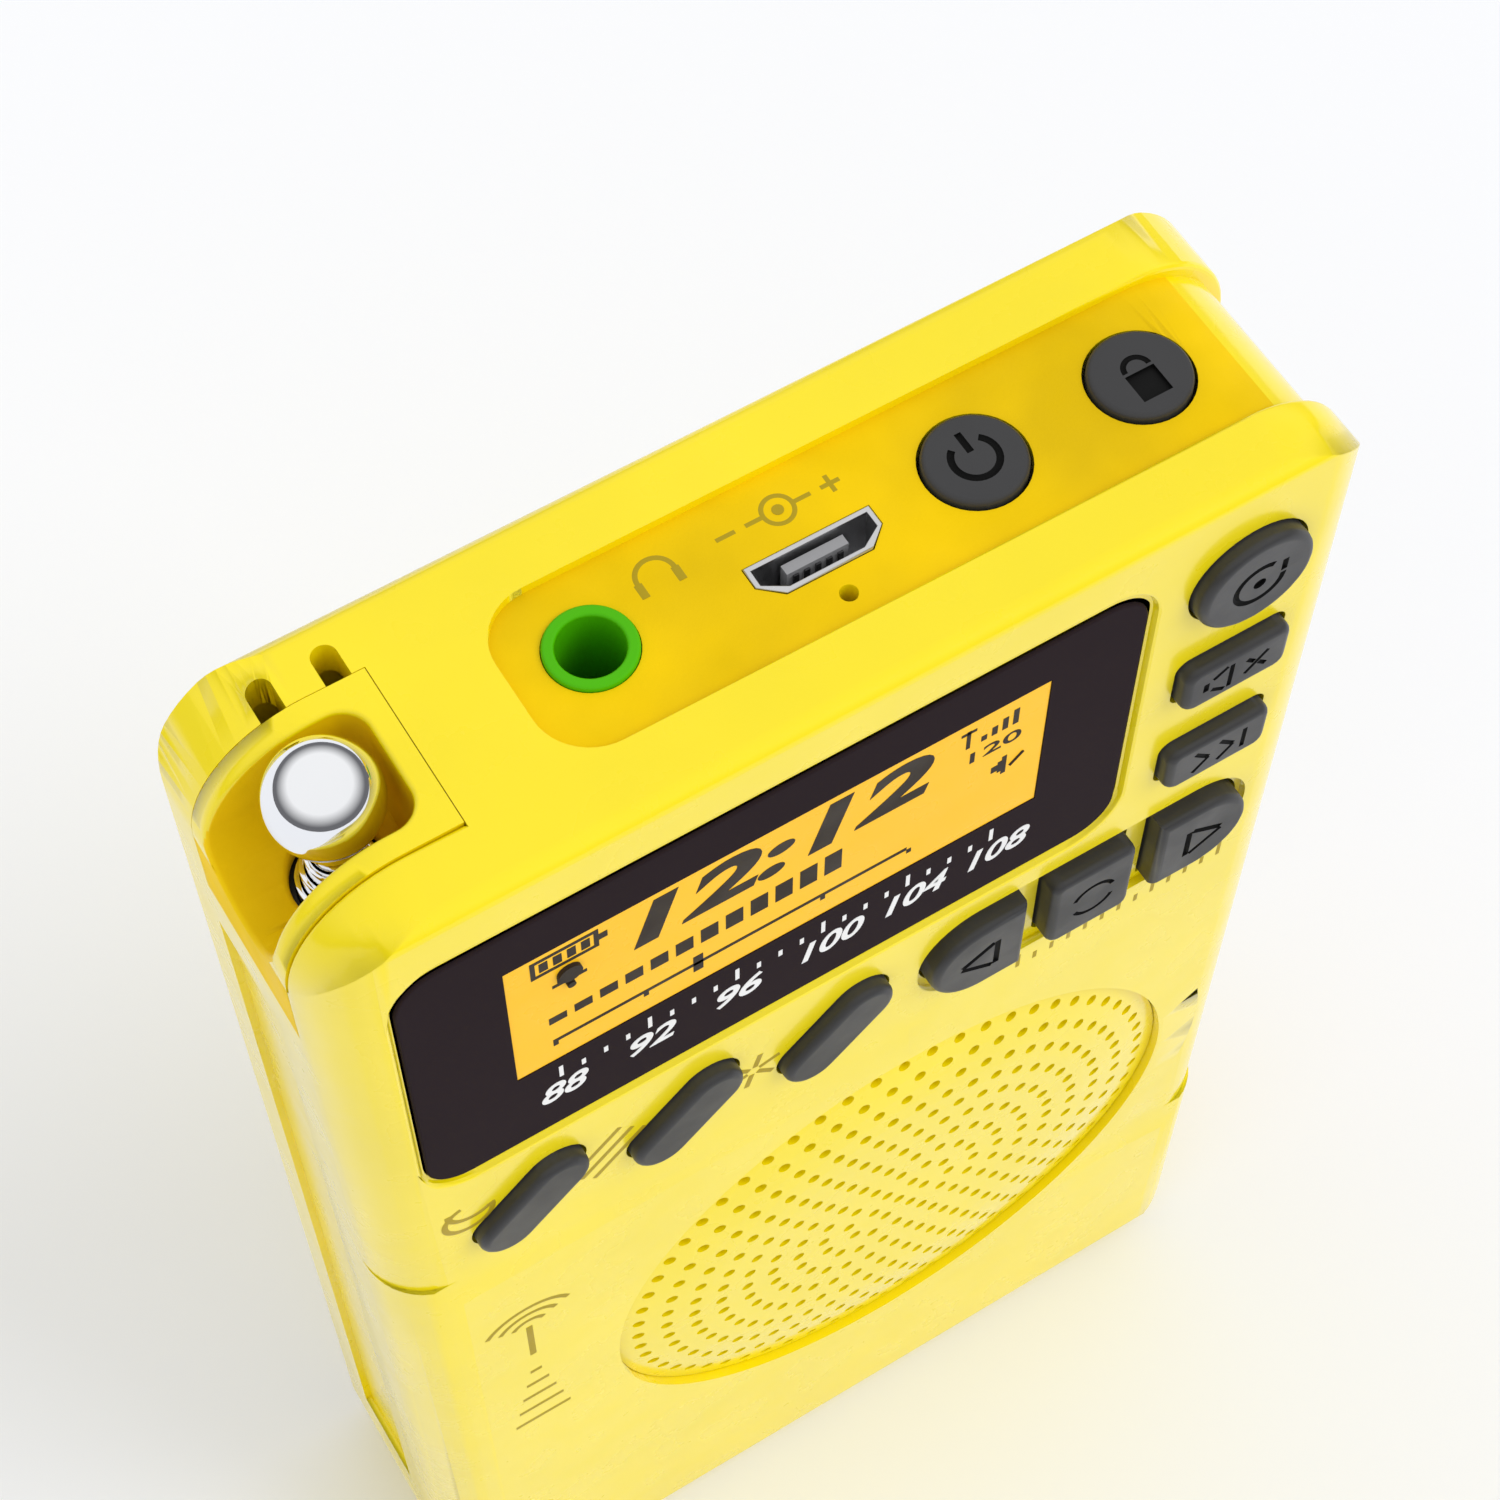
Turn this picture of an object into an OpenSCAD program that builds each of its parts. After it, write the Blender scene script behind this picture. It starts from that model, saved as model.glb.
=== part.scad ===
// Pocket digital radio: two moulded shells around a display, a speaker, eleven keys,
// a telescopic mast and a flat rechargeable battery.
// Millimetres. X runs across the front, Y from front to back, Z up. The origin is the
// middle of the bottom face.

/* [Body] */
// Width of the body
body_w = 62; // [60:0.1:75]
// Height of the body
body_h = 103.3; // [100:0.1:122]
// Depth of the body between its flat front and its back
body_d = 18.2; // [17.6:0.1:22]
// Radius of the four corners seen from the front
corner_r = 7; // [5:0.5:9]
// Radius of the upright front edges
edge_r = 4; // [3:0.1:4.4]
// Radius of the top front edge
rim_r = 1; // [0.6:0.1:1.4]
// Radius of the bottom front edge
chin_r = 1.7; // [1:0.1:2]
// Radius of all the back edges
back_r = 1.1; // [0.8:0.1:1.4]
// Thickness of the shell walls
wall = 1.6; // [1.3:0.1:2.2]
// Thickness of the front wall
front_wall = 1.8; // [1.7:0.1:2.4]

/* [Raised speaker panel] */
// How far the lower part of the front stands out
belly_proud = 0.3; // [0.2:0.05:0.5]
// Height of the crease between the key panel and the lower part
crease_z = 61.5; // [58:0.1:62]
// Width of the slope between the two levels
belly_slope = 3; // [1:0.1:3.2]
// Radius of the raised ring around the speaker grille
belly_r = 24.3; // [22:0.1:25]

/* [Speaker] */
// Place of the speaker from the middle of the body
speaker_x = 3.46; // [0:0.01:4]
// Height of the speaker's centre
speaker_z = 36.5; // [32:0.1:38]
// Outer radius of the grille disc
grille_r = 20.9; // [20:0.1:21.3]
// How far the grille's flat middle stands out from the key panel
grille_proud = 0.79; // [0.5:0.01:1]
// Thickness of the grille disc
grille_t = 1.2; // [0.9:0.1:1.6]
// Distance between the rings of holes
hole_pitch = 1.94; // [1.8:0.01:1.95]
// Diameter of a grille hole
hole_d = 0.83; // [0.5:0.01:1.1]
// Rings of holes around the middle hole
hole_rings = 10; // [4:1:10]
// Radius of the speaker's frame
driver_r = 18; // [15:0.5:19]

/* [Display] */
// Width of the display lens
lens_w = 43.9; // [40:0.1:44.2]
// Height of the display lens
lens_h = 23.9; // [22:0.1:24.5]
// Thickness of the display lens
lens_t = 0.8; // [0.6:0.1:0.9]
// Place of the lens from the middle of the body
lens_x = -5.35; // [-5.6:0.05:-5]
// Height of the lens centre
lens_z = 86.35; // [86:0.05:87]
// Depth of the lens face below the front
lens_sink = 0.25; // [0.1:0.05:0.3]
// Depth of the ledge around the lens
ledge_sink = 0.45; // [0.35:0.05:0.6]
// Width of the ledge beside and below the lens
lens_ledge = 0.35; // [0.2:0.05:0.4]
// Width of the ledge above the lens
top_ledge = 1.2; // [0.4:0.1:1.3]
// Width of the picture area
lcd_w = 32.25; // [28:0.05:34]
// Height of the picture area
lcd_h = 12.4; // [10:0.1:14]
// Height of the picture's centre above that of the lens
lcd_rise = 1.95; // [0:0.05:3]

/* [Keys] */
// How far the front keys stand out
key_proud = 1; // [0.6:0.05:1.6]
// Travel of every key
key_travel = 0.3; // [0.2:0.05:0.4]
// Gap around a key in its hole
key_gap = 0.18; // [0.12:0.01:0.3]
// Diameter of the round key at the top right
mode_d = 7.2; // [6:0.1:7.5]
// Place across of the right-hand column of keys
column_x = 22.7; // [22.4:0.05:22.9]
// Height of the round key
mode_z = 95.6; // [95:0.1:96]
// Width of the two flat keys under it
bar_key_w = 6.9; // [6:0.1:7.2]
// Height of the two flat keys under it
bar_key_h = 3.9; // [3.5:0.1:4.2]
// Height of the mute key's centre
mute_z = 86.95; // [86.8:0.05:87.1]
// Height of the scan key's centre
scan_z = 78.35; // [78:0.05:78.5]
// Height of the row of tuning keys
nav_z = 67.9; // [67.5:0.1:68.2]
// Place across of the middle tuning key
nav_x = 15.3; // [15:0.1:15.5]
// Distance between the tuning keys
nav_pitch = 7.82; // [7.7:0.01:7.85]
// Height of a tuning key
nav_h = 7; // [6.5:0.1:7.3]
// Width of an outer tuning key
nav_side_w = 6.4; // [5.8:0.1:6.5]
// Width of the middle tuning key
nav_mid_w = 5.8; // [5.2:0.1:6]
// Depth of the shallow pocket around the tuning keys
nav_sink = 0.5; // [0.3:0.05:0.6]
// Place across of the first slanted key
pill_x = -21.9; // [-22.2:0.1:-21.7]
// Distance between the slanted keys
pill_pitch = 9.95; // [9.6:0.05:10]
// Height of the slanted keys
pill_z = 67.9; // [67.6:0.1:68.2]
// Length of a slanted key
pill_l = 8.6; // [7:0.1:8.8]
// Width of a slanted key
pill_w = 3.7; // [3:0.1:3.8]
// Diameter of the two round keys on top
top_key_d = 5.6; // [5:0.1:6]
// Place across of the power key
power_x = 11.25; // [10.5:0.05:12]
// Place across of the lock key
lock_x = 21.3; // [20.8:0.05:21.6]

/* [Top band] */
// Depth of the band let into the top and the right side
band_sink = 0.56; // [0.3:0.01:0.8]
// Half the width of the band at its floor
band_half = 5; // [4.9:0.05:5.1]
// Left end of the band
band_x = -15.2; // [-16:0.1:-14]
// Radius of the headphone plug's bore
jack_bore_r = 1.78; // [1.76:0.01:1.85]
// Outer radius of the headphone jack's collar
jack_r = 2.45; // [2.3:0.05:2.6]
// Depth of the headphone jack's bore
jack_l = 12; // [11:0.5:13]
// Place across of the headphone jack
jack_x = -10.7; // [-11:0.1:-10]
// Distance of the jack behind the middle of the body
jack_y = 0.5; // [0.3:0.1:0.6]
// Place across of the charging socket
usb_x = 1.6; // [1:0.1:2.2]
// Distance of the charging socket in front of the middle of the body
usb_y = -0.6; // [-0.7:0.05:-0.4]
// Width of the charging socket
usb_w = 7.35; // [7.3:0.05:7.6]
// Depth across the charging socket
usb_d = 2.3; // [2.2:0.05:2.6]
// Length of the charging socket
usb_l = 5.6; // [5:0.1:6.5]

/* [Mast] */
// Distance of the mast's axis from the left side
mast_inset = 5.4; // [5.2:0.05:5.6]
// Outer radius of the widest tube
tube_r = 2.3; // [2:0.05:2.4]
// Wall of a tube
tube_wall = 0.3; // [0.25:0.01:0.35]
// Running gap between tubes
tube_gap = 0.05; // [0.02:0.01:0.08]
// Radius of the tip
tip_r = 3.05; // [2.6:0.05:3.2]
// Height of the tip's centre below the top of the body
tip_drop = 0.7; // [0.1:0.1:1]
// Half the width of the notch around the tip
notch_half = 3.6; // [3.5:0.05:3.9]
// Depth of the notch below the top of the body
notch_h = 8.3; // [7:0.1:10]
// Length of the sleeve that guides the mast
guide_l = 79; // [70:1:80]

/* [Battery] */
// Width of the battery
cell_w = 34; // [30:0.5:36]
// Height of the battery
cell_h = 53; // [45:0.5:54]
// Thickness of the battery
cell_t = 5; // [4.4:0.1:5.2]
// Height of the battery's lower edge
cell_z = 12; // [11:0.5:13]

/* [Hidden] */
$fn = 64;

plastic_yellow = [1, 0.9, 0.1];
key_grey = [0.26, 0.26, 0.27];
chrome_grey = [0.82, 0.83, 0.85];
steel_grey = [0.6, 0.6, 0.62];
board_green = [0.06, 0.34, 0.16];
black = [0.06, 0.06, 0.065];

over = 1;
front_y = -body_d / 2;
back_y = body_d / 2;
side_x = body_w / 2;
inner_front_y = front_y + front_wall;
inner_back_y = back_y - wall;
split_y = band_half;
fit = 0.1;
hollow_r = corner_r - wall - 0.9;
part_gap = 0.05;

// Board stack behind the front wall
board_t = 1;
board_y = usb_y - usb_d / 2 - 0.25 - board_t;
board_x0 = -side_x + mast_inset + tube_r + 0.5;
board_x1 = side_x - wall - 0.5;
board_z0 = 6;
band_floor_z = body_h - band_sink;
top_wall = 1.8;
board_z1 = band_floor_z - top_wall - 1.6;
switch_t = 1.5;
switch_y = board_y - switch_t;
stem_y = switch_y - key_travel - part_gap;
key_face_y = front_y - key_proud;
flange_t = 0.5;
flange_w = 0.6;
top_switch_z = band_floor_z - top_wall - flange_t - 2.2;

// Mast
mast_x = -side_x + mast_inset;
tip_z = body_h - tip_drop;
notch_z = body_h - notch_h;
insert_x = 10.37;
insert_half = band_half;
guide_wall = 0.75;
guide_r = tube_r + tube_gap;
guide_top = notch_z - 0.8;
guide_z = guide_top - guide_l;
bore_1 = tube_r - tube_wall;
tube_2_r = bore_1 - tube_gap;
bore_2 = tube_2_r - tube_wall;
tube_3_r = bore_2 - tube_gap;
bore_3 = tube_3_r - tube_wall;
rod_r = bore_3 - tube_gap;
neck_z = tip_z - tip_r;
step = 1.1;
pin_r = 0.5;

// Battery compartment
cell_y = inner_back_y - 0.15 - cell_t;
bay_gap = 0.4;
bay_wall = 0.8;
bay_x = 3;
door_w = cell_w + 6;
door_t = 1.2;
door_top = cell_z + cell_h + 3;
door_gap = 0.15;

// Speaker
magnet_r = 9;
grille_flat_r = 11.5;
seat_y = front_y + 1.2;
grille_seat = 1.6;
grille_dome_r = 39.5;

function led_x() = usb_x + 0.1;

// A rectangle with round corners, centred
module round_rect(w, h, r) {
    square([w - 2 * r, h], center = true);
    square([w, h - 2 * r], center = true);
    for (i = [-1, 1], j = [-1, 1])
        translate([i * (w / 2 - r), j * (h / 2 - r)]) circle(r);
}

// Extrudes an outline drawn in X and Z from y0 to y1
module along_y(y0, y1)
    translate([0, y1, 0]) rotate([90, 0, 0]) linear_extrude(y1 - y0) children();

// A tube or rod standing on z0
module ring(r_out, r_in, h)
    difference() {
        cylinder(r = r_out, h = h);
        if (r_in > 0)
            translate([0, 0, -over]) cylinder(r = r_in, h = h + 2 * over);
    }

// A rectangle given by two corners, with its own radius at each corner of the low end
// in x and one radius for both at the high end
module edged(x0, y0, x1, y1, r0, r1, rh) {
    polygon([[x0, y0 + r0], [x0 + r0, y0 + r0], [x0 + r0, y0], [x1 - rh, y0], [x1 - rh, y0 + rh],
        [x1, y0 + rh], [x1, y1 - rh], [x1 - rh, y1 - rh], [x1 - rh, y1], [x0 + r1, y1],
        [x0 + r1, y1 - r1], [x0, y1 - r1]]);
    translate([x0 + r0, y0 + r0]) circle(r0);
    translate([x0 + r1, y1 - r1]) circle(r1);
    for (y = [y0 + rh, y1 - rh])
        translate([x1 - rh, y]) circle(rh);
}

// The whole outer form of the body between y0 and y1, its front face standing out by p
module body_form(y0, y1, p, low_r)
    intersection() {
        along_y(y0, y1)
            translate([0, body_h / 2]) round_rect(body_w, body_h, corner_r);
        translate([0, 0, -over])
            linear_extrude(body_h + 2 * over)
                rotate(90) edged(front_y - p, -side_x, back_y, side_x, edge_r, edge_r, back_r);
        translate([-side_x - over, 0, 0])
            rotate([90, 0, 90])
                linear_extrude(body_w + 2 * over)
                    edged(front_y - p, 0, back_y, body_h, low_r, rim_r, back_r);
    }

// The raised lower part with its sloped rim: a band across the front below top_z
module raised_band(x0, x1, top_z)
    translate([x0, 0, 0])
        rotate([90, 0, 90])
            linear_extrude(x1 - x0)
                polygon([[front_y + edge_r, -over], [front_y + edge_r, top_z], [front_y, top_z],
                    [front_y - belly_proud, top_z - belly_slope], [front_y - belly_proud, -over]]);

// The raised lower part: left of and below the grille, and a ring around it
module belly() {
    raised_band(-side_x - over, speaker_x, crease_z);
    raised_band(-side_x - over, side_x + over, speaker_z - belly_r * 0.6);
    translate([speaker_x, front_y, speaker_z])
        rotate([90, 0, 0]) cylinder(r1 = belly_r, r2 = belly_r - belly_slope, h = belly_proud);
}

// The hollow of the closed case
module case_hollow(y0, y1)
    intersection() {
        along_y(y0, y1)
            translate([0, body_h / 2])
                round_rect(body_w - 2 * wall, body_h - 2 * top_wall - 2 * band_sink, hollow_r);
        linear_extrude(body_h)
            rotate(90)
                edged(inner_front_y, -side_x + wall, back_y + edge_r, side_x - wall,
                    edge_r - wall, edge_r - wall, 1);
    }

// The band let into the top and right side
module band_cut()
        difference() {
            translate([band_x + body_w / 2, 0, -over])
                linear_extrude(body_h + 2 * over) round_rect(body_w, 2 * band_half, 3.2);
            along_y(-body_d, body_d)
                translate([-band_sink, body_h / 2 - band_sink]) round_rect(body_w, body_h, corner_r);
            translate([-side_x, -body_d, -over]) cube([body_w, 2 * body_d, over + corner_r / 2]);
        }

// Key outlines, drawn in X and Z about the key's own centre, grown by g
module round_key(d, g) circle(d / 2 + g);

module bar_key(g) round_rect(bar_key_w + 2 * g, bar_key_h + 2 * g, 0.9);

module mid_key(g) round_rect(nav_mid_w + 2 * g, nav_h + 2 * g, 0.8);

module side_key(side, g) {
    arc_x = side * (nav_side_w - nav_h) / 2;
    half = nav_side_w / 2 + g;
    intersection() {
        square([2 * half, nav_h + 2 * g], center = true);
        union() {
            translate([arc_x, 0]) circle(nav_h / 2 + g);
            translate([side > 0 ? -half : arc_x, -nav_h / 2 - g])
                square([half + side * arc_x, nav_h + 2 * g]);
        }
    }
}

module pill_key(g)
    rotate(45) round_rect(pill_l + 2 * g, pill_w + 2 * g, pill_w / 2 + g - 0.01);

module at_mode() translate([column_x, mode_z]) children();

module at_mute() translate([column_x, mute_z]) children();

module at_scan() translate([column_x, scan_z]) children();

module at_nav(i) translate([nav_x + i * nav_pitch, nav_z]) children();

module at_pill(i) translate([pill_x + i * pill_pitch, pill_z]) children();

// Every front key's outline, grown by g
module front_keys(g) {
    at_mode() round_key(mode_d, g);
    at_mute() bar_key(g);
    at_scan() bar_key(g);
    at_nav(-1) side_key(-1, g);
    at_nav(0) mid_key(g);
    at_nav(1) side_key(1, g);
    for (i = [0 : 2]) at_pill(i) pill_key(g);
}

// One front key: cap, flange behind the wall, and stem down to its switch
module front_key(x, z) {
    color(key_grey) {
        along_y(key_face_y, inner_front_y + part_gap) children(0);
        along_y(inner_front_y + part_gap, inner_front_y + part_gap + flange_t) children(1);
        translate([x, 0, z])
            rotate([-90, 0, 0])
                translate([0, 0, inner_front_y + part_gap])
                    cylinder(r = 1.2, h = stem_y - inner_front_y - part_gap);
    }
}

// The four screw posts
post_low_x = side_x - 5.5;
post_low_z = 7.5;
post_side_x = side_x - 3.1;
post_side_z = (mute_z + scan_z) / 2;
post_top_x = -17;
post_top_z = body_h - 4.2;
post_r = 1.7;
screw_r = 0.8;
module at_posts()
    for (p = [[-post_low_x, post_low_z], [post_low_x, post_low_z], [post_side_x, post_side_z],
            [post_top_x, post_top_z]])
        translate([p[0], 0, p[1]]) rotate([-90, 0, 0]) children();

// Front half of the case with the display window, key holes and speaker opening
module front_shell() color(plastic_yellow)
    difference() {
        union() {
            difference() {
                union() {
                    body_form(front_y - over, split_y, 0, chin_r);
                    intersection() {
                        body_form(front_y - belly_proud, front_y + edge_r, belly_proud, chin_r);
                        belly();
                    }
                }
                case_hollow(inner_front_y, split_y + over);
            }
            at_posts() translate([0, 0, inner_front_y - part_gap])
                cylinder(r = post_r, h = split_y - inner_front_y - 1);
        }
        band_cut();
        lens_pocket();
        key_holes();
        speaker_opening();
        top_holes();
        insert_space();
        side_groove();
        at_posts() translate([0, 0, inner_front_y + 2]) cylinder(r = screw_r, h = body_d);
    }

module lens_pocket() {
    ledge_h = lens_h + lens_ledge + top_ledge;
    translate([lens_x, 0, lens_z]) {
        translate([0, 0, (top_ledge - lens_ledge) / 2])
            along_y(front_y - over, front_y + ledge_sink)
                round_rect(lens_w + 2 * lens_ledge, ledge_h, 3.4);
        along_y(front_y - over, front_y + lens_sink + lens_t)
            round_rect(lens_w + 2 * part_gap, lens_h + 2 * part_gap, 2.6 + part_gap);
        translate([0, 0, lcd_rise])
            along_y(front_y - over, inner_front_y + over)
                square([lcd_w + 0.6, lcd_h + 0.6], center = true);
    }
}

module key_holes() {
    along_y(front_y - over, inner_front_y + over) front_keys(key_gap);
    along_y(front_y - over, front_y + nav_sink)
        translate([nav_x, nav_z]) round_rect(2 * nav_pitch + nav_side_w + 1, nav_h + 1.6, nav_h / 2 + 0.5);
}

module speaker_opening()
    translate([speaker_x, 0, speaker_z]) {
        along_y(front_y - belly_proud - over, seat_y)
            circle(grille_r + part_gap);
        along_y(front_y - over, inner_front_y + over) circle(grille_r - grille_seat);
    }

module top_holes() {
    translate([jack_x, jack_y, band_floor_z - 2 * top_wall]) cylinder(r = jack_r + part_gap, h = 5);
    for (x = [power_x, lock_x])
        translate([x, 0, band_floor_z - 2 * top_wall]) cylinder(r = top_key_d / 2 + key_gap, h = 5);
    translate([usb_x, usb_y, band_floor_z - 2 * top_wall])
        linear_extrude(5) usb_outline(part_gap);
    translate([led_x(), -3.3, band_floor_z - 2 * top_wall]) cylinder(r = 0.5, h = 5);
}

// The space in the top left corner that the separate surround fills
module insert_block(g)
    translate([-side_x - over, -insert_half - g, notch_z - 4])
        cube([insert_x + over + g, 2 * insert_half + 2 * g, body_h]);

module insert_space() {
    insert_block(0);
    translate([mast_x, 0, guide_z - 1]) cylinder(r = guide_r + guide_wall + fit, h = guide_l + 1);
}

// Shallow upright groove in the left side
module side_groove()
    translate([-side_x - over, -1.6, 12])
        cube([over + 0.45, split_y + 1.6, notch_z - 20]);

// Rear half of the case with the battery bay, the lanyard slots and screw holes
module rear_shell() color(plastic_yellow)
    difference() {
        union() {
            difference() {
                body_form(split_y, back_y + over, 0, chin_r);
                case_hollow(split_y - over, inner_back_y);
            }
            bay_walls();
            intersection() {
                at_posts() translate([0, 0, split_y - 0.9]) cylinder(r = post_r, h = back_y - split_y - 0.5);
                along_y(-body_d, back_y) translate([-side_x, 0]) square([body_w, body_h]);
            }
        }
        door_space();
        lanyard_slots();
        at_posts() {
            translate([0, 0, split_y - over]) cylinder(r = 0.95, h = body_d);
            translate([0, 0, back_y - 2]) cylinder(r = 1.5, h = body_d);
        }
    }

module bay_walls()
    translate([bay_x, 0, cell_z + cell_h / 2])
        difference() {
            along_y(cell_y - bay_gap - bay_wall, inner_back_y + 0.2)
                square([cell_w + 2 * (bay_gap + bay_wall), cell_h + 2 * (bay_gap + bay_wall)], center = true);
            along_y(cell_y - bay_gap, back_y + over)
                square([cell_w + 2 * bay_gap, cell_h + 2 * bay_gap], center = true);
        }

module door_space() {
    translate([bay_x - door_w / 2 - door_gap, back_y - door_t - door_gap, -over])
        cube([door_w + 2 * door_gap, door_t + door_gap + over, door_top + door_gap + over]);
    translate([bay_x, 0, cell_z + cell_h / 2])
        along_y(cell_y - bay_gap, back_y + over)
            square([cell_w + 2 * bay_gap, cell_h + 2 * bay_gap], center = true);
}

module lanyard_slots()
    for (x = [mast_x, mast_x + 3.55])
        translate([x, split_y, body_h - 5])
            linear_extrude(6) {
                square([1.4, 3], center = true);
                translate([0, 1.5]) circle(0.7);
            }

// Surround of the mast's tip, let into the top left corner
module antenna_surround() color(plastic_yellow)
    difference() {
        intersection() {
            insert_block(-part_gap);
            body_form(front_y, back_y, 0, chin_r);
        }
        notch();
        translate([mast_x, 0, 0]) cylinder(r = guide_r + guide_wall + fit, h = notch_z - 0.4);
        translate([mast_x, 0, 0]) cylinder(r = tube_r + 0.3, h = body_h);
    }

// Open trough round the mast's tip: a U in section, rounded in plan at its inner end
module notch()
    intersection() {
        translate([mast_x - side_x, 0, notch_z + notch_half])
            rotate([90, 0, 90])
                linear_extrude(side_x + notch_half) {
                    circle(notch_half);
                    translate([-notch_half, 0]) square([2 * notch_half, body_h]);
                }
        translate([mast_x, 0, 0])
            linear_extrude(body_h + notch_h)
                translate([(notch_half - side_x) / 2, 0])
                    round_rect(side_x + notch_half, 2 * notch_half, 1.6);
    }

// Dark lens over the display
module display_lens() color(black)
    translate([lens_x, 0, lens_z])
        along_y(front_y + lens_sink, front_y + lens_sink + lens_t)
            round_rect(lens_w, lens_h, 2.6);

// Display glass with its amber picture
lcd_t = 1.6;
lcd_y = inner_front_y + fit;
module lcd_module() color([1, 0.74, 0.16])
    translate([lens_x, 0, lens_z + lcd_rise]) {
        along_y(lcd_y, lcd_y + lcd_t) square([lcd_w + 1.5, lcd_h + 3], center = true);
        along_y(front_y + lens_sink + lens_t + part_gap, lcd_y) square([lcd_w, lcd_h], center = true);
    }

// Frame that holds the display on the board
module lcd_holder() color([0.85, 0.85, 0.82])
    difference() {
        translate([lens_x, 0, lens_z + lcd_rise])
            difference() {
                along_y(lcd_y, board_y) square([lcd_w + 3.5, lcd_h + 5.4], center = true);
                along_y(lcd_y - over, lcd_y + lcd_t) square([lcd_w + 1.5, lcd_h + 3], center = true);
                along_y(lcd_y - over, board_y + over) square([lcd_w - 4, lcd_h - 3], center = true);
            }
        insert_block(0.15);
    }

// Pierced disc over the speaker, flat in the middle and rounded towards its rim
module speaker_grille() color(plastic_yellow)
    translate([speaker_x, seat_y, speaker_z])
        rotate([90, 0, 0])
            difference() {
                rotate_extrude($fn = 96) grille_profile();
                for (r = [0 : hole_rings])
                    for (i = [0 : max(6 * r, 1) - 1])
                        rotate(i * 360 / max(6 * r, 1))
                            translate([r * hole_pitch, 0, -over])
                                cylinder(d = hole_d, h = 3 * grille_t + 2 * over, $fn = 16);
            }

grille_top = seat_y - front_y + grille_proud;
function dome_drop(r) = (r - grille_flat_r) * (r - grille_flat_r) / (2 * grille_dome_r);
module grille_profile() {
    steps = 6;
    outer = [for (i = [steps : -1 : 0])
        let (r = grille_flat_r + (grille_r - grille_flat_r) * i / steps)
            [r, grille_top - dome_drop(r)]];
    inner = [for (i = [0 : steps])
        let (r = grille_flat_r + (grille_r - grille_seat - grille_flat_r) * i / steps)
            [r, grille_top - grille_t - dome_drop(r)]];
    polygon(concat([[grille_r, 0]], outer, [[0, grille_top], [0, grille_top - grille_t]], inner,
        [[grille_r - grille_seat, 0]]));
}

// Felt disc against dust behind the grille
cloth_y = inner_front_y + part_gap;
module dust_cloth() color([0.08, 0.08, 0.08])
    translate([speaker_x, 0, speaker_z]) along_y(cloth_y, cloth_y + 0.2) circle(grille_r - 0.4);

// Pressed steel speaker frame
frame_y = cloth_y + 0.25;
frame_depth = board_y - frame_y - 0.2;
module speaker_frame() color(steel_grey)
    translate([speaker_x, frame_y, speaker_z])
        rotate([-90, 0, 0])
            difference() {
                union() {
                    cylinder(r = driver_r, h = 0.8);
                    cylinder(r1 = driver_r - 0.5, r2 = magnet_r + 1.2, h = frame_depth);
                }
                translate([0, 0, -over]) cylinder(r = driver_r - 1.9, h = over + 0.6);
                translate([0, 0, 0.5]) cylinder(r1 = driver_r - 3.4, r2 = magnet_r, h = frame_depth - 1.3);
            }

// Paper cone with its dust cap
module speaker_cone() color([0.12, 0.12, 0.13])
    translate([speaker_x, frame_y, speaker_z])
        rotate([-90, 0, 0])
            difference() {
                union() {
                    translate([0, 0, 0.15]) cylinder(r = driver_r - 2, h = 0.4);
                    translate([0, 0, 0.5]) cylinder(r1 = driver_r - 4, r2 = 5, h = 1.4);
                }
                translate([0, 0, 0.1]) cylinder(r1 = driver_r - 4.4, r2 = 4.6, h = 1.5);
            }

// Magnet and yoke behind the frame, reaching through the board
module speaker_magnet() color([0.2, 0.2, 0.21])
    translate([speaker_x, frame_y + frame_depth, speaker_z])
        rotate([-90, 0, 0]) cylinder(r = magnet_r, h = board_t + 2);

// Circuit board
module main_board() color(board_green)
    difference() {
        along_y(board_y, board_y + board_t)
            translate([(board_x0 + board_x1) / 2, (board_z0 + board_z1) / 2])
                square([board_x1 - board_x0, board_z1 - board_z0], center = true);
        translate([speaker_x, 0, speaker_z])
            along_y(board_y - over, board_y + 2 * over) circle(magnet_r + 0.3);
        at_posts() translate([0, 0, board_y - over]) cylinder(r = post_r + 0.3, h = board_t + 2 * over);
        insert_block(0.2);
        translate([side_x - corner_r + 1, board_y - over, body_h - corner_r])
            cube([corner_r, board_t + 2 * over, corner_r]);
    }

// Dome switches under the front keys
module switch_body() square(3, center = true);

module front_key_switches() color(steel_grey)
    along_y(switch_y, board_y) {
        at_mode() switch_body();
        at_mute() switch_body();
        at_scan() switch_body();
        for (i = [-1 : 1]) at_nav(i) switch_body();
        for (i = [0 : 2]) at_pill(i) switch_body();
    }

// Side-acting switches under the two top keys
module top_key_switches() color(steel_grey)
    for (x = [power_x, lock_x])
        translate([x - 2, board_y + board_t, top_switch_z - 2.4]) cube([4, 3.4, 2.4]);

module mode_button() front_key(column_x, mode_z) {
    at_mode() round_key(mode_d, 0);
    at_mode() round_key(mode_d, flange_w);
}

module mute_button() front_key(column_x, mute_z) {
    at_mute() bar_key(0);
    at_mute() bar_key(flange_w);
}

module scan_button() front_key(column_x, scan_z) {
    at_scan() bar_key(0);
    at_scan() bar_key(flange_w);
}

module tune_down_button() front_key(nav_x - nav_pitch, nav_z) {
    at_nav(-1) side_key(-1, 0);
    at_nav(-1) side_key(-1, flange_w);
}

module select_button() front_key(nav_x, nav_z) {
    at_nav(0) mid_key(0);
    at_nav(0) mid_key(flange_w);
}

module tune_up_button() front_key(nav_x + nav_pitch, nav_z) {
    at_nav(1) side_key(1, 0);
    at_nav(1) side_key(1, flange_w);
}

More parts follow.
